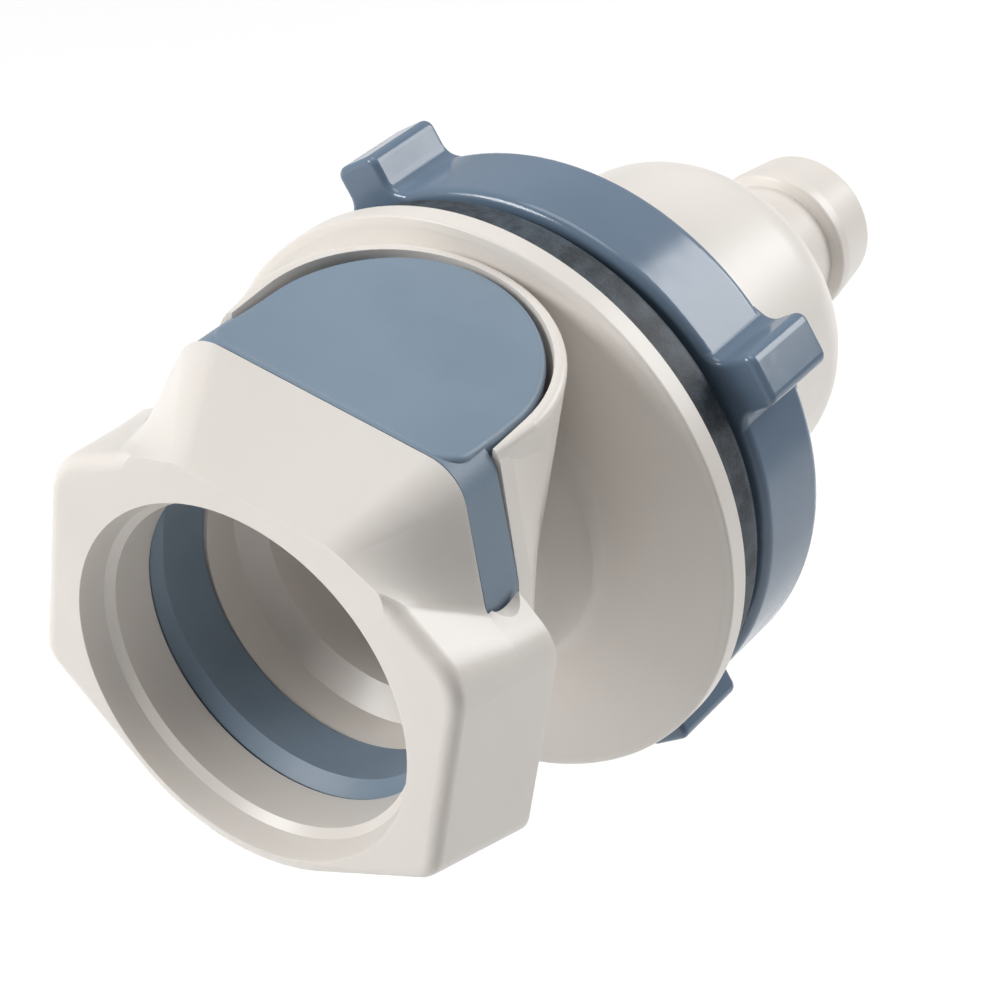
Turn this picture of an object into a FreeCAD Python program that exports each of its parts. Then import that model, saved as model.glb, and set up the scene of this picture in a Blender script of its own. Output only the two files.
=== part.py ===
import FreeCAD, Part
import os
from math import cos, pi, radians, sin, sqrt, tan

# Panel-mount body half of a plastic quick disconnect coupling.
# The flow axis is Y. The mouth faces -Y, the hose barb points to +Y and the thumb latch is on top (+Z).
# The origin lies on the flow axis, in the back face of the flange, where the panel's gasket sits.
# Lengths are in millimetres.

Vec = FreeCAD.Vector
FLOW = Vec(0, 1, 0)

# Flange, gasket and threaded shank
flange_radius = 20.0
flange_thickness = 1.6
flange_rim_round = 0.7
gasket_radius = 19.1
gasket_thickness = 3.6
gasket_edge_round = 0.9
shank_root_radius = 14.75
shank_length = 13.0
shank_end_chamfer = 0.8
thread_depth = 0.65

# Panel nut
nut_wall = 3.8
nut_width = 6.7
nut_gap = 0.45
nut_edge_round = 0.6
lug_count = 4
lug_turn = 47.0
thread_gap = 0.1
lug_height = 2.85
lug_width = 3.6
lug_corner_round = 0.7
lug_root_round = 1.2
lug_end_round = 0.45

# Head that holds the mouth
mouth_depth = 25.1
head_front_half_width = 15.0
head_flare = 1.0
head_back = 16.2
low_apothem_front = 13.2
low_apothem_back = 15.5
low_slope = 31.8
ear_top_front = 9.2
ear_top_back = 7.1
ear_round_front = 4.0
ear_round_back = 3.0
face_foot = (9.9, 12.2)
face_brow = (5.6, 13.9)
brow_round_front = 4.0
brow_round_back = 3.0
ear_corner_round = 2.2
face_round = 0.9
housing_front = 19.2

# Latch housing
housing_top = 18.1
flank_foot = (12.6, 9.4)
flank_top_half_width = 9.6
shroud_top = 18.8
shroud_front_top = 17.6
shroud_half_width = 10.2
shroud_front_half_width = 9.7
shroud_round = 0.45
collar_radius = 14.1
collar_back = 14.4
collar_end = 10.0
collar_top = 17.0
collar_inset = 0.2
neck_radius = 10.9
neck_root_round = 1.2
flange_neck_thickness = 2.6

# Bores along the flow axis
lip_radius = 12.3
lip_depth = 1.7
lip_taper = 0.5
mouth_radius = 11.3
mouth_step = 0.5
throat_radius = 10.6
throat_depth = 2.7
throat_cone = 1.4
seal_bore_radius = 9.0
seat_hole_radius = 6.0
seat_thickness = 2.0
seat_front = 0.2
chamber_radius = 9.6
spigot_bore_radius = 11.4
spigot_length = 3.9

# Thumb latch
latch_travel = 1.2
latch_hole_radius = 10.8
latch_catch = 0.9
latch_rim = 1.3
latch_ring_front = 19.5
latch_ring_thickness = 4.4
latch_ring_top = 6.6
latch_plate_front = 19.0
latch_plate_thickness = 3.2
latch_arm_half_width = 12.5
button_radius = 9.0
button_centre = 12.3
button_thickness = 2.1
button_dip = 17.7
button_dish_radius = 40.0
dish_forward = 0.7
button_edge_round = 0.4
button_corner_round = 1.8
button_gap = 0.4
latch_gap = 0.2
arm_recess = 0.12
window_rise = -0.6

# Latch spring
latch_spring_place = 9.4
latch_spring_radius = 2.4
latch_spring_wire = 0.5
latch_spring_turns = 3.5
spring_boss_radius = 1.6
spring_boss_height = 1.1
spring_pocket_depth = 2.0

# Valve
poppet_nose_radius = 5.6
poppet_nose_recess = 0.2
poppet_flange_radius = 7.9
poppet_flange_thickness = 1.6
poppet_stem_radius = 2.0
poppet_stem_reach = 2.4
poppet_boss_radius = 3.6
poppet_boss_height = 1.0
valve_ring_wire = 0.85
guide_place = 13.6
guide_thickness = 1.6
guide_hub_radius = 5.6
guide_hub_length = 2.6
guide_rim = 1.2
guide_spoke_count = 3
guide_spoke_width = 1.8
valve_spring_radius = 4.5
valve_spring_wire = 0.7
valve_spring_turns = 4.5
sliding_gap = 0.06
wire_sides = 8

# Rear stem with the hose barb
stem_front_radius = 13.3
stem_back_radius = 11.5
stem_back = 30.5
stem_shoulder_round = 6.0
stem_bore_radius = 8.9
stem_inner_radius = 8.0
stem_inner_end = 22.0
barb_end = 43.3
barb_crest_radius = 5.8
barb_root_radius = 5.05
barb_tip_radius = 5.25
barb_bore_radius = 3.7
barb_count = 2
barb_start = 31.6
barb_crest_land = 1.0
barb_undercut = 0.7
barb_tip_round = 0.8
barb_crest_round = 0.35
barb_root_round = 0.25
ring_groove_depth = 1.45
ring_groove_width = 1.9
stem_ring_wire = 0.73
fit_gap = 0.05
seat_gap = 0.05


def revolved(points):
    """Solid of revolution about the flow axis. A point is (radius, y) or (radius, y, round)."""
    flat = [Vec(p[0], p[1], 0) for p in points]
    rounds = [p[2] if len(p) > 2 else 0.0 for p in points]
    face = Part.Face(rounded_wire(flat, rounds))
    return face.revolve(Vec(0, 0, 0), FLOW, 360)


def rounded_wire(points, rounds):
    """Closed wire through corner points, with each corner replaced by a tangent arc of its own radius."""
    edges = []
    last = None
    first = None
    count = len(points)
    for i in range(count):
        corner = points[i]
        before = (points[i - 1] - corner).normalize()
        after = (points[(i + 1) % count] - corner).normalize()
        start = corner
        end = corner
        arc = None
        if rounds[i] > 0:
            half = before.getAngle(after) / 2
            reach = rounds[i] / tan(half)
            start = corner + before * reach
            end = corner + after * reach
            middle_way = (before + after).normalize()
            centre = corner + middle_way * (rounds[i] / sin(half))
            arc = Part.Arc(start, centre - middle_way * rounds[i], end).toShape()
        if last is None:
            first = start
        elif last.distanceToPoint(start) > 1e-6:
            edges.append(Part.LineSegment(last, start).toShape())
        if arc is not None:
            edges.append(arc)
        last = end
    if last.distanceToPoint(first) > 1e-6:
        edges.append(Part.LineSegment(last, first).toShape())
    return Part.Wire(edges)


def prism_y(points, rounds, y_low, y_high):
    """Straight prism along the flow axis from (x, z) corner points."""
    flat = [Vec(x, y_low, z) for x, z in points]
    return Part.Face(rounded_wire(flat, rounds)).extrude(Vec(0, y_high - y_low, 0))


def mirrored(points, rounds):
    """Adds the left half to right-half corner points that start at the bottom centre."""
    left = [(-x, z) for x, z in reversed(points) if x > 1e-9]
    left_rounds = [r for (x, z), r in zip(reversed(points), reversed(rounds)) if x > 1e-9]
    return points + left, rounds + left_rounds


def cylinder(radius, y_low, y_high):
    return Part.makeCylinder(radius, y_high - y_low, Vec(0, y_low, 0), FLOW)


def box(x, y_low, y_high, z_low, z_high):
    """Box centred on the plane of symmetry, x wide to each side."""
    return Part.makeBox(2 * x, y_high - y_low, z_high - z_low, Vec(-x, y_low, z_low))


def d_shape(radius, y_front, z_low, z_high):
    """Upright prism: straight sides from y_front, and a half round towards the flange."""
    centre = -button_centre
    left = Vec(-radius, y_front, z_low)
    right = Vec(radius, y_front, z_low)
    wire = Part.Wire([
        Part.LineSegment(left, right).toShape(),
        Part.LineSegment(right, Vec(radius, centre, z_low)).toShape(),
        Part.Arc(Vec(radius, centre, z_low), Vec(0, centre + radius, z_low),
                 Vec(-radius, centre, z_low)).toShape(),
        Part.LineSegment(Vec(-radius, centre, z_low), left).toShape(),
    ])
    return Part.Face(wire).extrude(Vec(0, 0, z_high - z_low))


def edges_on(shape, test):
    """Edges whose two ends and middle all pass a test of their place."""
    found = []
    for edge in shape.Edges:
        middle = edge.valueAt((edge.FirstParameter + edge.LastParameter) / 2)
        places = [v.Point for v in edge.Vertexes] + [middle]
        if all(test(p) for p in places):
            found.append(edge)
    return found


# Front body

def head_outline(y, half_width, low_apothem, ear, foot, brow, rounds):
    """Outline of the head: rounded below, then each side has a flat, an ear, a valley and a flank."""
    slope = radians(low_slope)
    bottom = -low_apothem / cos(slope)
    corner = bottom + half_width * tan(slope)
    points, all_rounds = mirrored([(0.0, bottom), (half_width, corner), (half_width, ear), foot, brow],
                                  [low_apothem] + rounds)
    return rounded_wire([Vec(x, y, z) for x, z in points], all_rounds)


def head_solid():
    """The mouth's head. Its front is a rounded hexagon, and it rises backwards into the latch housing."""
    share = (mouth_depth - housing_front) / (mouth_depth - head_back)
    middle_half_width = head_front_half_width + head_flare * share
    middle_low = low_apothem_front + (low_apothem_back - low_apothem_front) * share
    middle_ear = ear_top_front + (ear_top_back - ear_top_front) * share
    front_rounds = [ear_corner_round, ear_round_front, 2.0, brow_round_front]
    back_rounds = [ear_corner_round, ear_round_back, 1.5, brow_round_back]
    brow = (flank_top_half_width, housing_top)
    front = head_outline(-mouth_depth, head_front_half_width, low_apothem_front, ear_top_front,
                         face_foot, face_brow, front_rounds)
    middle = head_outline(-housing_front, middle_half_width, middle_low, middle_ear,
                          flank_foot, brow, back_rounds)
    back = head_outline(-head_back, head_front_half_width + head_flare, low_apothem_back, ear_top_back,
                        flank_foot, brow, back_rounds)
    nose = Part.makeLoft([front, middle], True, True)
    rear = Part.makeLoft([middle, back], True, True)
    return nose.fuse(rear)


def flank_half_width(z):
    """Half width of the housing's sloping flank at height z."""
    foot_x, foot_z = flank_foot
    return foot_x + (flank_top_half_width - foot_x) * (z - foot_z) / (housing_top - foot_z)


def collar_outline(y, radius, shoulder, top):
    """Outline of the collar: half round below, with leaning sides above."""
    corners = [(radius, 0.0), shoulder, top, (-top[0], top[1]), (-shoulder[0], shoulder[1]), (-radius, 0.0)]
    places = [Vec(x, y, z) for x, z in corners]
    edges = [Part.LineSegment(first, second).toShape() for first, second in zip(places, places[1:])]
    edges.append(Part.Arc(places[-1], Vec(0, y, -radius), places[0]).toShape())
    return Part.Wire(edges)


def collar_solid():
    """Collar behind the head. It closes the latch ring's pocket and runs down to the neck and housing."""
    foot_x, foot_z = flank_foot
    shoulder = (foot_x - collar_inset, foot_z)
    top = (flank_half_width(collar_top), collar_top)
    front = collar_outline(-head_back - 0.3, collar_radius, shoulder, top)
    middle = collar_outline(-collar_back, collar_radius, shoulder, top)
    back = collar_outline(-collar_end, neck_radius, (shroud_half_width - collar_inset / 2, foot_z),
                          (shroud_half_width - collar_inset, collar_top))
    return Part.makeLoft([front, middle], True, True).fuse(Part.makeLoft([middle, back], True, True))


def shroud_height(y, front_top):
    """Height of a plane across the shroud, from front_top in front to the rim at the back."""
    front = -plate_slot_back()
    back = shroud_half_width - button_centre
    return front_top + (shroud_top - front_top) * (y - front) / (back - front)


def shroud_outline(front_half_width, height):
    """Outline of the shroud: leaning sides in front, a half round behind. height is a function of y."""
    front = -plate_slot_back()
    centre = -button_centre
    radius = shroud_half_width
    corners = [(-radius, centre), (-front_half_width, front), (front_half_width, front), (radius, centre)]
    places = [Vec(x, y, height(y)) for x, y in corners]
    edges = [Part.LineSegment(first, second).toShape() for first, second in zip(places, places[1:])]
    edges.append(Part.Arc(places[-1], Vec(0, centre + radius, height(centre + radius)), places[0]).toShape())
    return Part.Wire(edges)


def housing_solid():
    """Upright housing of the button. Its sides follow the head's flanks, and its rim rises to the back."""
    front = -plate_slot_back()
    foot = shroud_outline(flank_foot[0] - collar_inset, lambda y: flank_foot[1])
    top = shroud_outline(shroud_front_half_width, lambda y: shroud_height(y, shroud_front_top))
    upper = Part.makeLoft([foot, top], True, True)
    rim = edges_on(upper, lambda p: abs(p.z - shroud_height(p.y, shroud_front_top)) < 0.2 and (
        p.y > front + 0.01 or abs(p.x) > 0.1))
    upper = upper.makeFillet(shroud_round, rim)
    middle = d_shape(shroud_half_width, front, 0.0, flank_foot[1])
    lower = d_shape(shroud_half_width, front, -shroud_half_width, 0.0)
    lower = lower.common(cylinder(shroud_half_width, front, 0.0))
    behind = box(flange_radius, -flange_thickness / 2, flange_radius, -flange_radius, flange_radius)
    return upper.fuse(middle).fuse(lower).cut(behind)


def plate_slot_back():
    return latch_plate_front - latch_plate_thickness - latch_gap


def flange_solid():
    """Flange: thick at the neck, thin at its rounded rim."""
    return revolved([
        (0.0, -flange_neck_thickness - neck_root_round),
        (neck_radius - 0.05, -flange_neck_thickness - neck_root_round),
        (neck_radius, -flange_neck_thickness, neck_root_round * 0.9),
        (flange_radius, -flange_thickness, flange_rim_round),
        (flange_radius, 0.0, flange_rim_round / 3),
        (0.0, 0.0),
    ])


def shank_solid():
    return revolved([
        (0.0, -flange_thickness / 2),
        (shank_root_radius, -flange_thickness / 2),
        (shank_root_radius, shank_length - shank_end_chamfer),
        (shank_root_radius - shank_end_chamfer, shank_length),
        (0.0, shank_length),
    ])


def flow_bores():
    """Everything that is open along the flow axis inside the front body."""
    ring_back = -latch_ring_front + latch_ring_thickness + latch_gap
    throat_end = ring_back + throat_depth
    seat_back = seat_thickness - seat_front
    chamber_end = shank_length - spigot_length
    lip_end = -mouth_depth + lip_depth
    return revolved([
        (0.0, -mouth_depth - 1.0),
        (lip_radius + 1.0, -mouth_depth - 1.0),
        (lip_radius, -mouth_depth, 0.4),
        (lip_radius - lip_taper, lip_end),
        (mouth_radius, lip_end + mouth_step),
        (mouth_radius, ring_back - latch_gap),
        (throat_radius, ring_back),
        (throat_radius, throat_end),
        (seal_bore_radius, throat_end + throat_cone),
        (seal_bore_radius, -seat_front),
        (seat_hole_radius, -seat_front),
        (seat_hole_radius, seat_back),
        (chamber_radius, seat_back),
        (chamber_radius, chamber_end),
        (spigot_bore_radius, chamber_end),
        (spigot_bore_radius, shank_length + 1.0),
        (0.0, shank_length + 1.0),
    ])


def ring_outline(gap, drop, y_front, y_back):
    """Body of the latch ring: half round below, straight sides up to its shoulders."""
    radius = latch_arm_half_width + 0.35 + gap
    bottom = latch_ring_bottom() - gap - drop
    centre = bottom + radius
    round_part = Part.makeCylinder(radius, y_back - y_front, Vec(0, y_front, centre), FLOW)
    return round_part.common(box(radius, y_front, y_back, bottom - 1.0, centre)).fuse(
        box(radius, y_front, y_back, centre, latch_ring_top + gap))


def latch_ring_bottom():
    return latch_catch - mouth_radius - latch_rim


def latch_pocket():
    """Room inside the head for the latch ring over its whole travel."""
    front = -latch_ring_front - latch_gap
    back = -latch_ring_front + latch_ring_thickness + latch_gap
    return ring_outline(latch_gap, latch_travel, front, back)


def arm_window():
    """Slot across the housing for the latch's arms, with a round lower end in each flank."""
    front = -latch_plate_front - latch_gap
    back = -plate_slot_back()
    radius = (back - front) / 2
    low = flank_foot[1] + window_rise + radius
    across = Part.makeCylinder(radius, 4 * flange_radius,
                               Vec(-2 * flange_radius, (front + back) / 2, low), Vec(1, 0, 0))
    outside = across.fuse(box(2 * flange_radius, front, back, low, 2 * flange_radius))
    inside = box(latch_arm_half_width + latch_gap, front, back, 0.0, 2 * flange_radius)
    return outside.fuse(inside)


def button_recess():
    front = -latch_plate_front - latch_gap
    floor = button_floor()
    recess = d_shape(button_radius + button_gap, front, floor, 2 * flange_radius)
    pocket = Part.makeCylinder(latch_spring_radius + latch_spring_wire + 0.3, spring_pocket_depth + 1.0,
                               Vec(0, -latch_spring_place, floor - spring_pocket_depth))
    return recess.fuse(pocket)


def button_floor():
    return button_dip - button_thickness - latch_travel - 0.7


def front_body():
    """Moulded body: head, latch housing, neck, flange and shank in one piece, then its hollows."""
    head = head_solid()
    front_edges = edges_on(head, lambda p: abs(p.y + mouth_depth) < 1e-4 and p.z < face_foot[1])
    outer = head.makeFillet(face_round, front_edges)
    for piece in (collar_solid(), housing_solid(), cylinder(neck_radius, -collar_back - 1.0, 0.0),
                  flange_solid(), shank_solid()):
        outer = outer.fuse(piece)
    for hollow in (flow_bores(), latch_pocket(), arm_window(), button_recess()):
        outer = outer.cut(hollow)
    return outer.removeSplitter()


# Thumb latch

def latch_hole():
    """Hole of the latch ring, long enough upwards to stay open while the button is down."""
    low = latch_catch - mouth_radius + latch_hole_radius
    front = -latch_ring_front - 1.0
    back = -latch_ring_front + latch_ring_thickness + 1.0
    long_hole = Part.makeCylinder(latch_hole_radius, back - front, Vec(0, front, low), FLOW)
    upper = Part.makeCylinder(latch_hole_radius, back - front, Vec(0, front, low + latch_travel), FLOW)
    long_hole = long_hole.fuse(upper)
    long_hole = long_hole.fuse(box(latch_hole_radius, front, back, low, low + latch_travel))
    bevel = Part.makeCone(mouth_radius + 0.2, mouth_radius - latch_catch, 1.0,
                          Vec(0, -latch_ring_front - 0.1, 0), FLOW)
    return long_hole.fuse(bevel)


def latch_plate():
    """Flat plate that carries the button and shows its arms in the housing's flanks."""
    foot_x, foot_z = flank_foot
    width = latch_arm_half_width
    line_top = flank_half_width(housing_top) - arm_recess
    points = [(width, 2.0), (width, foot_z), (line_top, housing_top - arm_recess)]
    rounds = [0.0, 1.0, 2.9]
    points = points + [(-x, z) for x, z in reversed(points)]
    rounds = rounds + list(reversed(rounds))
    plate = prism_y(points, rounds, -latch_plate_front, -latch_plate_front + latch_plate_thickness)
    return plate.cut(dish())


def dish():
    """Long round bar whose underside dips the top of the button."""
    axis_start = Vec(-2 * flange_radius, -button_centre - dish_forward, button_dip + button_dish_radius)
    return Part.makeCylinder(button_dish_radius, 4 * flange_radius, axis_start, Vec(1, 0, 0))


def button_solid():
    """Thumb pad with its dished top, and the boss that centres the spring below it."""
    pad = d_shape(button_radius, -latch_plate_front, button_dip - button_thickness, shroud_top + 1.0)
    corners = edges_on(pad, lambda p: abs(p.y + latch_plate_front) < 1e-4 and abs(p.x) > button_radius - 0.01)
    pad = pad.makeFillet(button_corner_round, corners).cut(dish())
    underside = button_dip - button_thickness
    rim = edges_on(pad, lambda p: p.z > underside + button_thickness / 2 + 0.1)
    pad = pad.makeFillet(button_edge_round, rim)
    boss = Part.makeCylinder(spring_boss_radius, spring_boss_height + 0.1,
                             Vec(0, -latch_spring_place, button_dip - button_thickness - spring_boss_height))
    return pad.fuse(boss)


def thumb_latch():
    front = -latch_ring_front
    ring = ring_outline(0.0, 0.0, front, front + latch_ring_thickness)
    latch = ring.fuse(latch_plate()).fuse(button_solid()).cut(latch_hole())
    return latch.removeSplitter()


# Springs and rings

def coil(radius, wire, turns, low, high):
    """Compression spring along +Z, standing on z = low and reaching z = high. Its wire has eight sides."""
    pitch = (high - low - wire) / turns
    path = Part.makeHelix(pitch, pitch * turns, radius)
    path.translate(Vec(0, 0, low + wire / 2))
    corners = []
    for i in range(wire_sides + 1):
        angle = 2 * pi * (i + 0.5) / wire_sides
        corner_radius = wire / 2 / cos(pi / wire_sides)
        rise = low + wire / 2 + corner_radius * sin(angle)
        corners.append(Vec(radius + corner_radius * cos(angle), 0, rise))
    return Part.Wire(path).makePipeShell([Part.makePolygon(corners)], True, True)


def latch_spring():
    floor = button_floor() - spring_pocket_depth + fit_gap
    spring = coil(latch_spring_radius, latch_spring_wire, latch_spring_turns, floor,
                  button_dip - button_thickness - fit_gap)
    spring.translate(Vec(0, -latch_spring_place, 0))
    return spring


def along_flow(shape):
    """Turns a shape that was made along +Z to lie along the flow axis."""
    shape.rotate(Vec(0, 0, 0), Vec(1, 0, 0), -90)
    return shape


def ring(major, wire, y):
    return Part.makeTorus(major, wire, Vec(0, y, 0), FLOW)


# Valve

def valve_seat_back():
    return seat_thickness - seat_front


def valve_ring_place():
    return valve_seat_back() + valve_ring_wire + seat_gap


def valve_poppet():
    neck_end = valve_ring_place() + valve_ring_wire
    flange_end = neck_end + poppet_flange_thickness
    nose = poppet_nose_recess - seat_front
    return revolved([
        (0.0, nose),
        (poppet_nose_radius, nose, 0.6),
        (poppet_nose_radius, neck_end),
        (poppet_flange_radius, neck_end, 0.3),
        (poppet_flange_radius, flange_end, 0.3),
        (poppet_boss_radius, flange_end),
        (poppet_boss_radius, flange_end + poppet_boss_height),
        (poppet_stem_radius, flange_end + poppet_boss_height),
        (poppet_stem_radius, guide_place + guide_hub_length + poppet_stem_reach, 0.5),
        (0.0, guide_place + guide_hub_length + poppet_stem_reach),
    ])


def poppet_flange_back():
    return valve_ring_place() + valve_ring_wire + poppet_flange_thickness


def poppet_o_ring():
    return ring(poppet_nose_radius + valve_ring_wire, valve_ring_wire - 0.01, valve_ring_place())


def valve_guide():
    """Three-spoked guide in which the poppet's stem slides."""
    outer = stem_bore_radius - fit_gap
    rim = cylinder(outer, guide_place, guide_place + guide_thickness)
    rim = rim.cut(cylinder(outer - guide_rim, guide_place - 1.0, guide_place + guide_thickness + 1.0))
    hub = cylinder(guide_hub_radius, guide_place, guide_place + guide_thickness)
    hub = hub.fuse(cylinder(poppet_boss_radius, guide_place, guide_place + guide_hub_length))
    body = rim.fuse(hub)
    for i in range(guide_spoke_count):
        spoke = Part.makeBox(guide_spoke_width, guide_thickness, outer - guide_rim / 2,
                             Vec(-guide_spoke_width / 2, guide_place, 0))
        spoke.rotate(Vec(0, 0, 0), FLOW, 360.0 * i / guide_spoke_count)
        body = body.fuse(spoke)
    bore = cylinder(poppet_stem_radius + sliding_gap, guide_place - 1.0, guide_place + guide_hub_length + 1.0)
    return body.cut(bore).removeSplitter()


def valve_spring():
    spring = coil(valve_spring_radius, valve_spring_wire, valve_spring_turns,
                  poppet_flange_back() + fit_gap, guide_place - fit_gap)
    return along_flow(spring)


# Rear stem

def barb_points():
    """Teeth of the hose barb, from the stem's back face to its tip, as (radius, y) points."""
    length = (barb_end - barb_start) / barb_count
    points = [(barb_root_radius, stem_back, barb_root_round)]
    for i in range(barb_count):
        tooth = barb_start + i * length
        low = barb_root_radius
        last = i == barb_count - 1
        slope_end = barb_tip_radius if last else barb_root_radius
        points.append((low, tooth))
        points.append((low, tooth + barb_undercut / 2))
        points.append((barb_crest_radius, tooth + barb_undercut, barb_crest_round))
        points.append((barb_crest_radius, tooth + barb_undercut + barb_crest_land, barb_crest_round / 2))
        if last:
            points.append((slope_end, barb_end, barb_tip_round))
    return points


def rear_stem():
    spigot_front = shank_length - spigot_length + fit_gap
    spigot_radius = spigot_bore_radius - fit_gap
    shank_end = shank_length + fit_gap
    groove_start = spigot_front + (spigot_length - ring_groove_width) / 2
    groove_radius = spigot_radius - ring_groove_depth
    guide_step = guide_place + guide_thickness + fit_gap
    outline = [
        (stem_bore_radius, spigot_front),
        (spigot_radius, spigot_front, 0.3),
        (spigot_radius, groove_start),
        (groove_radius, groove_start),
        (groove_radius, groove_start + ring_groove_width),
        (spigot_radius, groove_start + ring_groove_width),
        (spigot_radius, shank_end),
        (stem_front_radius, shank_end, 0.3),
        (stem_back_radius, stem_back, stem_shoulder_round),
    ]
    outline += barb_points()
    outline += [
        (barb_bore_radius, barb_end, 0.4),
        (barb_bore_radius, stem_inner_end + stem_inner_radius - barb_bore_radius),
        (stem_inner_radius, stem_inner_end),
        (stem_inner_radius, guide_step),
        (stem_bore_radius, guide_step),
    ]
    return revolved(outline)


def stem_o_ring():
    spigot_front = shank_length - spigot_length + fit_gap
    groove_radius = spigot_bore_radius - fit_gap - ring_groove_depth
    return ring(groove_radius + stem_ring_wire + 0.01, stem_ring_wire, spigot_front + spigot_length / 2)


# Gasket and nut

def panel_gasket():
    inner = shank_root_radius + fit_gap
    return revolved([
        (inner, 0.0),
        (gasket_radius, 0.0, gasket_edge_round),
        (gasket_radius, gasket_thickness, gasket_edge_round),
        (inner, gasket_thickness),
    ])


def nut_lug(nut_radius, front, back):
    """One lug of the nut, along its whole width, with a hollow round on each side of its root."""
    half = lug_width / 2
    foot = nut_radius - nut_wall / 2
    tip = nut_radius + lug_height
    rim = nut_radius - lug_root_round * 0.35
    spread = lug_root_round
    corners = [(-half - spread, foot), (-half - spread, rim),
               (-half, nut_radius + spread * 0.2), (-half, tip),
               (half, tip), (half, nut_radius + spread * 0.2), (half + spread, rim), (half + spread, foot)]
    rounds = [0.0, 0.0, spread, lug_corner_round, lug_corner_round, spread, 0.0, 0.0]
    return prism_y(corners, rounds, front, back)


def panel_nut():
    """Winged nut. Its thread is a plain bore that clears the shank's thread."""
    front = gasket_thickness + nut_gap
    back = front + nut_width
    bore = shank_root_radius + thread_depth + thread_gap
    nut_radius = bore + nut_wall
    nut = revolved([
        (bore + 0.5, front),
        (nut_radius, front, nut_edge_round),
        (nut_radius, back, nut_edge_round * 1.5),
        (bore + 0.5, back),
        (bore, back - 0.5),
        (bore, front + 0.5),
    ])
    lug = nut_lug(nut_radius, front, back)
    ends = edges_on(lug, lambda p: p.z > nut_radius + lug_height * 0.3 and (
        abs(p.y - front) < 1e-4 or abs(p.y - back) < 1e-4))
    lug = lug.makeFillet(lug_end_round, ends)
    for i in range(lug_count):
        turned = lug.copy()
        turned.rotate(Vec(0, 0, 0), FLOW, lug_turn + 360.0 * i / lug_count)
        nut = nut.fuse(turned)
    return nut.removeSplitter()


def main():
    parts = {
        "front_body": front_body(),
        "thumb_latch": thumb_latch(),
        "latch_spring": latch_spring(),
        "valve_poppet": valve_poppet(),
        "poppet_o_ring": poppet_o_ring(),
        "valve_spring": valve_spring(),
        "valve_guide": valve_guide(),
        "stem_o_ring": stem_o_ring(),
        "rear_stem": rear_stem(),
        "panel_gasket": panel_gasket(),
        "panel_nut": panel_nut(),
    }
    os.makedirs("parts", exist_ok=True)
    for name, shape in parts.items():
        print(name, "valid", shape.isValid(), "solids", len(shape.Solids), "volume", round(shape.Volume, 1))
        shape.exportStep(os.path.join("parts", name + ".step"))


main()
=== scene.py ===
# %% [markdown]
# # A panel-mount quick disconnect coupling
# The solids of this coupling are already modelled and packed. This lesson dresses them: it gives each piece
# its moulded plastic, rubber or steel, winds the thread and the springs, and sets up the picture.
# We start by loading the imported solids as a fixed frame. They stay where they are, and we only add looks.

# %% Load the solids
import math
import bmesh
import bpy
from mathutils import Matrix, Vector


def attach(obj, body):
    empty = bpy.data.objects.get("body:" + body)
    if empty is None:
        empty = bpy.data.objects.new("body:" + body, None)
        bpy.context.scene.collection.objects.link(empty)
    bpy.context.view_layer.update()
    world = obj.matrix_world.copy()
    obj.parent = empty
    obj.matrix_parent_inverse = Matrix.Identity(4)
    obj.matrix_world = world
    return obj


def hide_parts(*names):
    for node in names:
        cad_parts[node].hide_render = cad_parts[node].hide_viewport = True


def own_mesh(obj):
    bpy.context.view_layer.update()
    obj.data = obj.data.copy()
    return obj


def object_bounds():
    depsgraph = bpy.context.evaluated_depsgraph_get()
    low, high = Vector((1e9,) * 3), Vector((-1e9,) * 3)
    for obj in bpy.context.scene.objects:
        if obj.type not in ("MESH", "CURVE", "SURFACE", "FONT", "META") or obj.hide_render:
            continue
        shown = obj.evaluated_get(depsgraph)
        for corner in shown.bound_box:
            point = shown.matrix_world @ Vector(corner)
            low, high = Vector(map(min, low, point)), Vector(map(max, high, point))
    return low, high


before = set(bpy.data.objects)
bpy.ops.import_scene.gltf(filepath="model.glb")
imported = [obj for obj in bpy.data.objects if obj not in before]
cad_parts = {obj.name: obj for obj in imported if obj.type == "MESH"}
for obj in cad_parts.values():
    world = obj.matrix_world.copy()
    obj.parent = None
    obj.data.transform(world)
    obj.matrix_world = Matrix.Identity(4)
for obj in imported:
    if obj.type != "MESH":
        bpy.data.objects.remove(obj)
cad_box = [list(corner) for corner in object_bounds()]
print("solids:", sorted(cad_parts))
print("box in mm:", [[round(1000 * v, 1) for v in corner] for corner in cad_box])

# %% [markdown]
# ## Sums on sockets
# Materials and Geometry Nodes both work out numbers with Math nodes, one node for each plus or times.
# Wrapping a socket in a small class lets us write the sum as Python does, `1 - mask * 0.3`, and the class
# adds the nodes.

# %% Arithmetic on sockets
class Signal:
    """A number that varies over a surface or along a curve, held as an output socket."""

    def __init__(self, maker, socket):
        self.maker = maker
        self.socket = socket

    def _with(self, operation, first, second):
        return self.maker.node("ShaderNodeMath", {"operation": operation}, [first, second])

    def __add__(self, other):
        return self._with("ADD", self, other)

    __radd__ = __add__

    def __sub__(self, other):
        return self._with("SUBTRACT", self, other)

    def __rsub__(self, other):
        return self._with("SUBTRACT", other, self)

    def __mul__(self, other):
        return self._with("MULTIPLY", self, other)

    __rmul__ = __mul__

print("ready:", Signal.__name__)

# %% [markdown]
# ## One maker for every other node
# All other nodes come from one method. It takes the node's type, its settings (set first, because some of
# them change the sockets) and the values or links of its sockets. It is the same for both kinds of tree.

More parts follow.
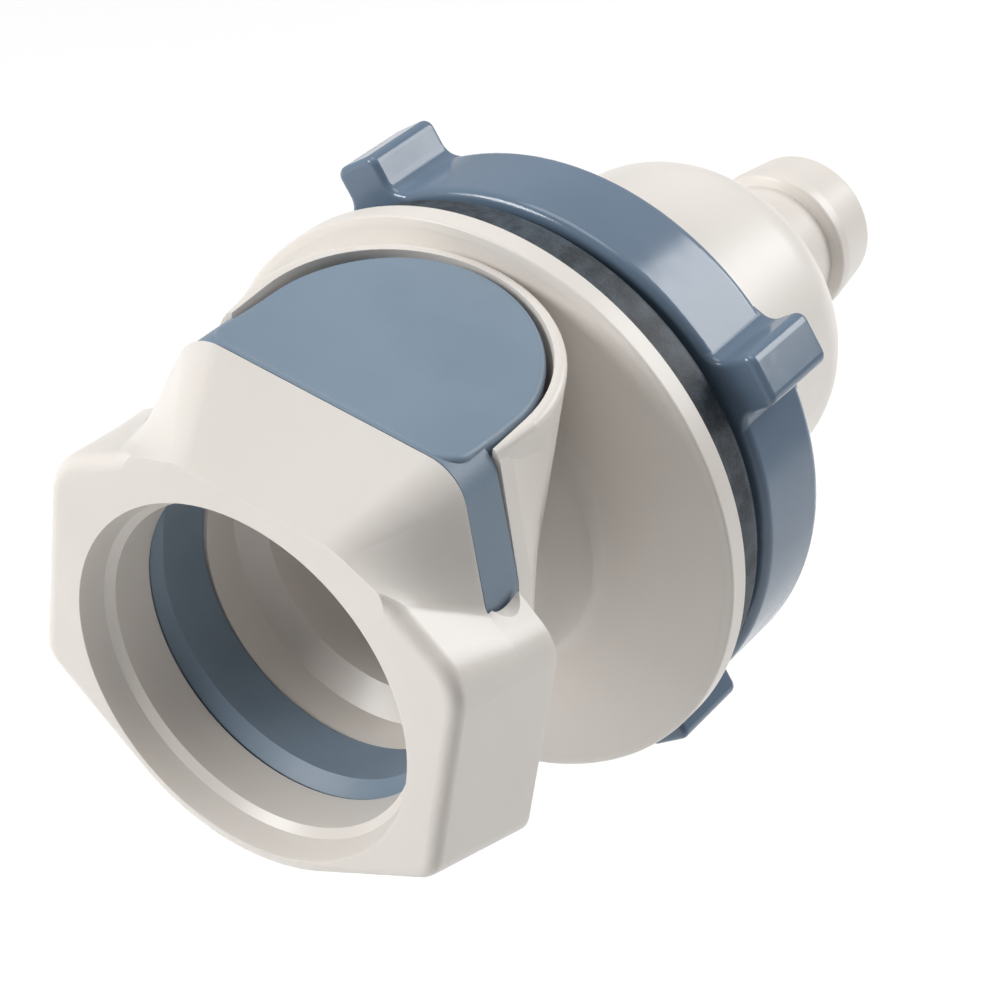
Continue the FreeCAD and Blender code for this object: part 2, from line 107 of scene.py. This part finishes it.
# %% The node maker
class NodeMaker:
    """Adds nodes to one tree."""

    def __init__(self, tree):
        self.tree = tree

    def node(self, kind, settings=None, inputs=None, output=0):
        made = self.tree.nodes.new(kind)
        for key, value in (settings or {}).items():
            setattr(made, key, value)
        pairs = inputs.items() if isinstance(inputs, dict) else enumerate(inputs or [])
        for socket, value in pairs:
            self._feed(made.inputs[socket], value)
        return Signal(self, made.outputs[output])

    def _feed(self, socket, value):
        if isinstance(value, Signal):
            self.tree.links.new(value.socket, socket)
        else:
            socket.default_value = value

print("ready:", NodeMaker.__name__)

# %% [markdown]
# ## A finish
# A finish starts as an empty material with one Principled shader. Numbers that are the same all over go
# straight onto that shader. The methods below are the few patterns that our plastics, rubbers and wires
# share: cloudy noise, a colour between two shades, a roughness and a fine relief.

# %% Finishes
class Finish(NodeMaker):
    """A procedural material, built node by node."""

    def __init__(self, name, **constants):
        self.material = bpy.data.materials.new(name)
        self.material.use_nodes = True
        super().__init__(self.material.node_tree)
        self.tree.nodes.clear()
        output = self.tree.nodes.new("ShaderNodeOutputMaterial")
        self.shader = self.tree.nodes.new("ShaderNodeBsdfPrincipled")
        self.tree.links.new(self.shader.outputs["BSDF"], output.inputs["Surface"])
        for socket, value in constants.items():
            self.shader.inputs[socket.replace("_", " ")].default_value = value

    def place(self):
        """Where a point is on the object, in metres."""
        return self.node("ShaderNodeTexCoord", output="Object")

    def noise(self, size, detail=2.0, roughness=0.5, stretch=None):
        """Cloudy noise whose blotches are about `size` metres across."""
        where = self.place()
        if stretch:
            where = self.node("ShaderNodeMapping", {"vector_type": "POINT"},
                              {"Vector": where, "Scale": stretch})
        return self.node("ShaderNodeTexNoise", {"noise_dimensions": "3D"}, {
            "Vector": where, "Scale": 1.0 / size, "Detail": detail, "Roughness": roughness}, "Fac")

    def soften(self, signal, low, high):
        """Takes the part of a signal between two values and spreads it over 0 to 1."""
        return self.node("ShaderNodeMapRange", {"interpolation_type": "SMOOTHSTEP"},
                         {"Value": signal, "From Min": low, "From Max": high}, "Result")

    def tint(self, mask, dark, light):
        """Colour that goes from dark to light with a mask."""
        return self.node("ShaderNodeMix", {"data_type": "RGBA"},
                         {0: mask, 6: (*dark, 1.0), 7: (*light, 1.0)}, 2)

    def colour(self, value):
        self._feed(self.shader.inputs["Base Color"], value)

    def rough(self, value):
        self._feed(self.shader.inputs["Roughness"], value)

    def relief(self, height, depth):
        """Bumps of the given depth in metres."""
        bump = self.node("ShaderNodeBump", {}, {"Height": height, "Distance": depth, "Strength": 1.0},
                         "Normal")
        self._feed(self.shader.inputs["Normal"], bump)

print("ready:", Finish.__name__)

# %% [markdown]
# ## Off-white moulded plastic
# The body and the rear stem are injection moulded in a warm, milky plastic. Light enters it a little, so its
# edges glow, and the mould leaves a fine satin grain. Large soft clouds keep the colour from looking flat,
# and the roughness wanders slightly, as it does where the plastic has flowed. The relief is only a few
# thousandths of a millimetre, because a deeper one looks like marble under a soft light.

# %% Finish of the body and the rear stem
def milky_plastic(name, dark, light):
    finish = Finish(name, IOR=1.48, Subsurface_Weight=0.12, Subsurface_Scale=0.0012)
    finish.shader.inputs["Subsurface Radius"].default_value = (1.0, 0.85, 0.7)
    clouds = finish.noise(size=0.018, detail=3.0)
    grain = finish.noise(size=0.00022, detail=3.0, roughness=0.6)
    flow = finish.noise(size=0.004, detail=2.0)
    finish.colour(finish.tint(finish.soften(clouds, 0.3, 0.7), dark, light))
    finish.rough(0.27 + flow * 0.08 + grain * 0.04)
    finish.relief(grain + flow * 3.0, depth=0.0000025)
    return finish.material

body_plastic = milky_plastic("body_plastic", dark=(0.760, 0.715, 0.665), light=(0.800, 0.760, 0.712))
print("made", body_plastic.name)

# %% [markdown]
# ## Blue-grey moulded plastic
# The latch and the nut are dyed blue-grey. The latch is satin with a fine grain. The nut is glossier, and
# long soft highlights run along its rim, so its relief is smooth and shallow and its roughness is low.
# One function makes both, with the grain and the roughness as its inputs.

# %% Finishes of the latch and the nut
def dyed_plastic(name, dark, light, low_rough, grain_size, grain_depth, detail=3.0):
    finish = Finish(name, IOR=1.49)
    clouds = finish.noise(size=0.010, detail=3.0)
    grain = finish.noise(grain_size, detail=detail, roughness=0.65)
    flow = finish.noise(size=0.003, detail=detail)
    finish.colour(finish.tint(finish.soften(clouds, 0.3, 0.7), dark, light))
    finish.rough(low_rough + flow * 0.10 + grain * 0.10)
    finish.relief(grain + flow * 2.0, grain_depth)
    return finish.material

latch_plastic = dyed_plastic("latch_plastic", dark=(0.182, 0.248, 0.322), light=(0.206, 0.276, 0.354),
                             low_rough=0.34, grain_size=0.00018, grain_depth=0.000012)
nut_plastic = dyed_plastic("nut_plastic", dark=(0.138, 0.196, 0.272), light=(0.158, 0.220, 0.300),
                           low_rough=0.07, grain_size=0.00100, grain_depth=0.000003, detail=0.0)
print("made", latch_plastic.name, nut_plastic.name)

# %% [markdown]
# ## Rubber for the gasket and the seals
# The gasket is near-black rubber with a coarse, slightly dusty skin. The small seals inside are smoother and
# a little greasy. Both come from one function: a fine grain gives the relief, and a cloud seven times as
# large lays the dust.

# %% Finishes of the gasket and the seals
def rubber(name, dark, light, low_rough, grain_size, grain_depth):
    finish = Finish(name, IOR=1.5)
    grain = finish.noise(grain_size, detail=4.0, roughness=0.7)
    dust = finish.noise(grain_size * 7, detail=3.0)
    finish.colour(finish.tint(finish.soften(dust * 0.6 + grain * 0.4, 0.38, 0.66), dark, light))
    finish.rough(low_rough + grain * 0.25)
    finish.relief(grain, grain_depth)
    return finish.material

gasket_rubber = rubber("gasket_rubber", dark=(0.015, 0.022, 0.029), light=(0.062, 0.082, 0.104),
                       low_rough=0.42, grain_size=0.00024, grain_depth=0.00004)
seal_rubber = rubber("seal_rubber", dark=(0.010, 0.011, 0.012), light=(0.035, 0.037, 0.040),
                     low_rough=0.25, grain_size=0.0002, grain_depth=0.000006)
print("made", gasket_rubber.name, seal_rubber.name)

# %% [markdown]
# ## Spring steel and the valve's plastic
# The springs are drawn wire, bright with faint scratches. The valve and its guide are an undyed plastic, so
# the function for dyed plastic makes it too, with a pale grey.

# %% Finishes of the springs and the valve
def spring_steel(name):
    finish = Finish(name, Metallic=1.0)
    scratches = finish.noise(size=0.00015, detail=3.0, stretch=(1.0, 1.0, 0.2))
    finish.colour(finish.tint(scratches, dark=(0.45, 0.45, 0.46), light=(0.66, 0.66, 0.67)))
    finish.rough(0.22 + scratches * 0.2)
    finish.relief(scratches, depth=0.000003)
    return finish.material

steel = spring_steel("spring_steel")
valve_plastic = dyed_plastic("valve_plastic", dark=(0.48, 0.47, 0.45), light=(0.55, 0.54, 0.51),
                             low_rough=0.30, grain_size=0.0002, grain_depth=0.000005)
print("made", steel.name, valve_plastic.name)

# %% [markdown]
# ## Dressing the solids
# Each solid that keeps its shape only needs its finish in its material slots. A table says which finish each
# one wears, so that nothing is left without one.

# %% Give each solid its finish
finish_of = {
    "front_body": body_plastic, "rear_stem": body_plastic, "thumb_latch": latch_plastic,
    "panel_nut": nut_plastic, "panel_gasket": gasket_rubber, "stem_o_ring": seal_rubber,
    "poppet_o_ring": seal_rubber, "latch_spring": steel, "valve_spring": steel,
    "valve_guide": valve_plastic, "valve_poppet": valve_plastic,
}
for name, finish in finish_of.items():
    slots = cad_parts[name].material_slots
    for slot in slots:
        slot.material = finish
    print(name, "wears", finish.name, "in", len(slots), "slot")

# %% [markdown]
# ## One tree that winds
# A thread and a spring are the same idea: a small profile carried along a helix. Geometry Nodes suit it,
# because one tree with named inputs can wind all three. The helix starts as a flat spiral, and each point is
# lifted by its share of the length. A spring's end turns lie closed, so there the lift eases in and out with
# a sine. A thread's ends fade out, so there the profile shrinks. A taper of 0 leaves the profile whole.

# %% The winding tree
winding_inputs = {"Turns": "Float", "Radius": "Float", "Length": "Float", "Profile": "Float", "Sides": "Int",
                  "Steps": "Int", "Closing": "Float", "Taper": "Float", "Finish": "Material"}

def winding_tree():
    """A profile carried along a helix that climbs from the origin along Z."""
    tree = bpy.data.node_groups.new("winding", "GeometryNodeTree")
    for label, kind in winding_inputs.items():
        tree.interface.new_socket(label, in_out="INPUT", socket_type="NodeSocket" + kind)
    tree.interface.new_socket("Geometry", in_out="OUTPUT", socket_type="NodeSocketGeometry")
    make = NodeMaker(tree)
    given = tree.nodes.new("NodeGroupInput")
    size = {label: Signal(make, given.outputs[label]) for label in winding_inputs}
    spiral = make.node("GeometryNodeCurveSpiral", {}, {
        "Resolution": size["Steps"], "Rotations": size["Turns"], "Height": 0.0,
        "Start Radius": size["Radius"], "End Radius": size["Radius"]})
    along = make.node("GeometryNodeSplineParameter", output="Factor")
    wave = make.node("ShaderNodeMath", {"operation": "SINE"}, [along * (2 * math.pi)])
    lift = size["Length"] * (along - size["Closing"] * wave * (0.5 / math.pi))
    raised = make.node("GeometryNodeSetPosition", {}, {
        "Geometry": spiral, "Offset": make.node("ShaderNodeCombineXYZ", {}, {"Z": lift})})
    upright = make.node("GeometryNodeSetCurveNormal", {"mode": "Z_UP"}, {"Curve": raised})
    from_end = make.node("ShaderNodeMath", {"operation": "MINIMUM"}, [along, 1 - along])
    full = make.node("ShaderNodeMapRange", {"interpolation_type": "SMOOTHSTEP"},
                     {"Value": from_end, "From Min": -0.0001, "From Max": size["Taper"]}, "Result")
    profile = make.node("GeometryNodeCurvePrimitiveCircle", {"mode": "RADIUS"},
                        {"Resolution": size["Sides"], "Radius": size["Profile"]})
    wound = make.node("GeometryNodeCurveToMesh", {}, {
        "Curve": upright, "Profile Curve": profile, "Scale": full, "Fill Caps": True})
    dressed = make.node("GeometryNodeSetMaterial", {}, {"Geometry": wound, "Material": size["Finish"]})
    plain = make.node("GeometryNodeRealizeInstances", {}, {"Geometry": dressed})
    result = tree.nodes.new("NodeGroupOutput")
    tree.links.new(plain.socket, result.inputs["Geometry"])
    return tree

winding = winding_tree()
print("winding tree has", len(winding.nodes), "nodes")

# %% [markdown]
# ## From the tree to a piece
# A modifier carries the tree on a throwaway object. We set its inputs, let Blender work the shape out, and
# keep the result as a plain mesh. The piece itself stays at the origin, because its place goes into the mesh.

# %% A helper that winds one piece
def wind(name, turn, smooth, **sizes):
    """Winds a piece, turns it into a plain mesh, and puts its place into the mesh."""
    carrier = bpy.data.objects.new(name + "_carrier", bpy.data.meshes.new(name + "_carrier"))
    bpy.context.scene.collection.objects.link(carrier)
    modifier = carrier.modifiers.new("winding", "NODES")
    modifier.node_group = winding
    for item in winding.interface.items_tree:
        if item.item_type == "SOCKET" and item.in_out == "INPUT":
            modifier[item.identifier] = sizes[item.name]
    mesh = bpy.data.meshes.new_from_object(carrier.evaluated_get(bpy.context.evaluated_depsgraph_get()))
    bpy.data.objects.remove(carrier)
    mesh.name = name
    mesh.transform(turn)
    mesh.polygons.foreach_set("use_smooth", [smooth] * len(mesh.polygons))
    piece = bpy.data.objects.new(name, mesh)
    bpy.context.scene.collection.objects.link(piece)
    print(name, "has", len(mesh.polygons), "faces and", [slot.name for slot in mesh.materials])
    return piece

print("ready:", wind.__name__)

# %% [markdown]
# ## The flange's crisp rim
# The mould closes on the flange's rim, so its front corner is crisp and the rim is a flat, bright band. A
# camera this close sees every facet there, so we turn the band as its own fine ring, a hundredth of a
# millimetre over the solid. A ring is one outline revolved, and plain mesh code does that with full control
# of where its edges fall.

# %% A helper that turns a ring on the flow axis
def turned(name, outline, segments, finish):
    """Revolves a closed outline of (radius, y) points, in millimetres, about the flow axis."""
    count = len(outline)
    points, faces = [], []
    for step in range(segments):
        angle = 2 * math.pi * step / segments
        points += [(r * math.cos(angle) / 1000, y / 1000, r * math.sin(angle) / 1000) for r, y in outline]
        here, there = step * count, (step + 1) % segments * count
        faces += [(here + i, here + (i + 1) % count, there + (i + 1) % count, there + i)
                  for i in range(count)]
    mesh = bpy.data.meshes.new(name)
    mesh.from_pydata(points, [], faces)
    shape = bmesh.new()
    shape.from_mesh(mesh)
    bmesh.ops.recalc_face_normals(shape, faces=shape.faces)
    shape.to_mesh(mesh)
    shape.free()
    mesh.polygons.foreach_set("use_smooth", [True] * len(mesh.polygons))
    mesh.materials.append(finish)
    piece = bpy.data.objects.new(name, mesh)
    bpy.context.scene.collection.objects.link(piece)
    print(name, "has", len(mesh.polygons), "faces")
    return piece

print("ready:", turned.__name__)

# %% [markdown]
# ## The rim's outline
# The outline runs along the back corner, forward over the rim, around the front corner and inwards over the
# front face. Close pairs of points keep the flats flat where the shading is smooth. On the front face the
# skin sinks slowly into the solid, so that no seam shows where it ends. The last points lie inside the solid.

# %% Turn the rim
solid_radius, front_slope = 20.0, 0.11
rim_radius, rim_back, rim_front = 20.012, -0.02, -1.604
corner_round, corner_strip, close_pair = 0.20, 0.08, 0.05
skin_edge = rim_radius - corner_round - corner_strip
skin_radii, skin_sink = (skin_edge, 17.6, 16.8, 16.5), 0.0125
hidden_radius, hidden_front, inner_radius = 16.4, -0.9, 19.5

def front_at(radius):
    """How far forward the flange's slightly conical front lies at a radius."""
    return rim_front - (solid_radius - radius) * front_slope

corner = [(rim_radius - corner_round * (1 - math.cos(a)), rim_front + corner_round * (1 - math.sin(a)))
          for a in (math.radians(d) for d in (0, 22, 45, 68, 90))]
sinking = [(r, front_at(r) + skin_sink * (skin_edge - r)) for r in skin_radii]
rim_outline = [(rim_radius - close_pair, rim_back), (rim_radius, rim_back - close_pair),
               (rim_radius, rim_back - 2 * close_pair), (rim_radius, rim_front + corner_round + close_pair),
               *corner, *sinking, (hidden_radius, hidden_front),
               (inner_radius, rim_back - close_pair), (inner_radius, rim_back)]
flange_rim = turned("flange_rim", rim_outline, segments=288, finish=body_plastic)
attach(flange_rim, "body")

# %% [markdown]
# ## The shank's thread
# The nut runs on a coarse moulded thread. Its root is the solid's plain shank, so the thread is only a
# diamond profile whose inner half sinks into that shank. The nut's bore clears the crest by 0.15 mm. Both
# ends of the thread fade out, as a moulded thread's ends do.

# %% Wind the thread
shank_root = 0.01475
thread_height = 0.00060
thread_start, thread_end = 0.0041, 0.0119
thread_pitch = 0.0016
along_flow = Matrix.Rotation(math.radians(-90.0), 4, "X")
shank_thread = wind(
    "shank_thread", Matrix.Translation((0.0, thread_start, 0.0)) @ along_flow, False,
    Turns=(thread_end - thread_start) / thread_pitch, Radius=shank_root, Length=thread_end - thread_start,
    Profile=thread_height, Sides=4, Steps=96, Closing=0.0, Taper=0.03, Finish=body_plastic)
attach(shank_thread, "body")

# %% [markdown]
# ## The valve's spring
# The wire of the solids' springs has eight flat sides, which is enough for collisions. The seen springs are
# wound from round wire, with a closed turn at each end. This one stands around the valve's stem in place of
# its solid. Its rear end rests on the guide.

# %% Wind the valve's spring
valve_foot, valve_head = 0.00520, 0.01355
valve_wire = 0.00035
valve_coil = wind(
    "valve_coil", Matrix.Translation((0.0, valve_foot + valve_wire, 0.0)) @ along_flow, True,
    Turns=6.0, Radius=0.0045, Length=valve_head - valve_foot - 2 * valve_wire,
    Profile=valve_wire, Sides=16, Steps=64, Closing=0.72, Taper=0.0, Finish=steel)
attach(valve_coil, "body")
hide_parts("valve_spring")
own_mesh(valve_coil)

# %% [markdown]
# ## The latch's spring
# A smaller spring of thinner wire stands upright in a pocket below the button and pushes the latch up. Its
# foot rests in the body.

# %% Wind the latch's spring
latch_foot, latch_head = 0.01175, 0.01555
latch_wire = 0.00025
latch_spring_y = -0.0094
latch_coil = wind(
    "latch_coil", Matrix.Translation((0.0, latch_spring_y, latch_foot + latch_wire)), True,
    Turns=4.5, Radius=0.0024, Length=latch_head - latch_foot - 2 * latch_wire,
    Profile=latch_wire, Sides=16, Steps=64, Closing=0.72, Taper=0.0, Finish=steel)
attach(latch_coil, "body")
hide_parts("latch_spring")
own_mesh(latch_coil)

# %% [markdown]
# ## A white floor
# The part is photographed on white. The floor lies well below it, so that it takes no shadow worth seeing,
# and a faint glow of its own keeps it white to the picture's edge.

# %% Floor
reach = 3.0
floor_drop = 0.060
floor_level = cad_box[0][2] - floor_drop
floor_mesh = bpy.data.meshes.new("floor")
floor_mesh.from_pydata([(-reach, -reach, floor_level), (reach, -reach, floor_level),
                        (reach, reach, floor_level), (-reach, reach, floor_level)], [], [(0, 1, 2, 3)])
floor = bpy.data.objects.new("floor", floor_mesh)
bpy.context.scene.collection.objects.link(floor)
floor_finish = Finish("floor_paper", Roughness=0.9, Emission_Strength=0.10)
floor_finish.colour((0.88, 0.88, 0.88, 1.0))
floor_finish.shader.inputs["Emission Color"].default_value = (1.0, 1.0, 1.0, 1.0)
floor.data.materials.append(floor_finish.material)
print("floor lies at", round(1000 * floor_level, 1), "mm")

# %% [markdown]
# ## The camera
# The camera stands where the photograph was taken, and leans a little to one side as it did. Its three
# directions are given as plain vectors, because a lean is hard to read from turning angles.

# %% Camera
camera_right = Vector((0.8177, 0.5637, 0.1168))
camera_up = Vector((-0.4330, 0.4685, 0.7701))
camera_back = Vector((0.3794, -0.6802, 0.6272))
camera_data = bpy.data.cameras.new("camera")
camera_data.sensor_width = 36.0
camera_data.lens = 107.39
camera_data.clip_start = 0.01
camera_data.clip_end = 20.0
camera = bpy.data.objects.new("camera", camera_data)
turn = Matrix((camera_right, camera_up, camera_back)).transposed().to_4x4()
camera.matrix_world = Matrix.Translation((0.07487, -0.13128, 0.12105)) @ turn
bpy.context.scene.collection.objects.link(camera)
bpy.context.scene.camera = camera
print("camera looks along", [round(-v, 3) for v in camera_back])

# %% [markdown]
# ## Soft light
# The lights are large and soft, as in a product studio. The main one hangs on the left, one hangs overhead,
# and one behind on the right gives the nut its bright patch. Their places are told from the camera, because
# that is how a photographer moves them.

# %% Lights
def softbox(name, side, up, back, distance, size, power):
    """A square soft light. Its place is told from the camera: to the right, up and back towards it."""
    away = (camera_right * side + camera_up * up + camera_back * back).normalized()
    data = bpy.data.lights.new(name, "AREA")
    data.shape = "SQUARE"
    data.size = size
    data.energy = power
    lamp = bpy.data.objects.new(name, data)
    lamp.location = away * distance
    lamp.rotation_euler = away.to_track_quat("Z", "Y").to_euler()
    bpy.context.scene.collection.objects.link(lamp)
    print(name, "hangs at", [round(v, 2) for v in lamp.location])

softbox("key_light", side=-0.80, up=0.25, back=0.50, distance=0.50, size=0.19, power=1.55)
softbox("top_light", side=-0.106, up=0.885, back=0.448, distance=0.60, size=0.36, power=1.20)
softbox("rear_light", side=0.79, up=0.61, back=-0.02, distance=0.50, size=0.27, power=1.50)

# %% [markdown]
# ## A white room
# The room fills the shadows. It is a little darker on the camera's side, so that the flange stays grey
# behind the bright head. The plain view transform shows each colour as it was mixed, so we choose that one.

# %% Room
dim_direction = (0.60, -0.74, 0.0)
world = bpy.data.worlds.new("white_room")
world.use_nodes = True
background = world.node_tree.nodes["Background"]
background.inputs["Color"].default_value = (1.0, 1.0, 1.0, 1.0)
room = NodeMaker(world.node_tree)
towards = room.node("ShaderNodeTexCoord", output="Generated")
dim_side = room.node("ShaderNodeVectorMath", {"operation": "DOT_PRODUCT"}, [towards, dim_direction], "Value")
glow = room.node("ShaderNodeMapRange", {"interpolation_type": "SMOOTHSTEP"}, {
    "Value": dim_side, "From Min": -0.8, "From Max": 0.8, "To Min": 0.40, "To Max": 0.12}, "Result")
room.tree.links.new(glow.socket, background.inputs["Strength"])
bpy.context.scene.world = world
bpy.context.scene.view_settings.view_transform = "Standard"
print("room has", len(room.tree.nodes), "nodes")
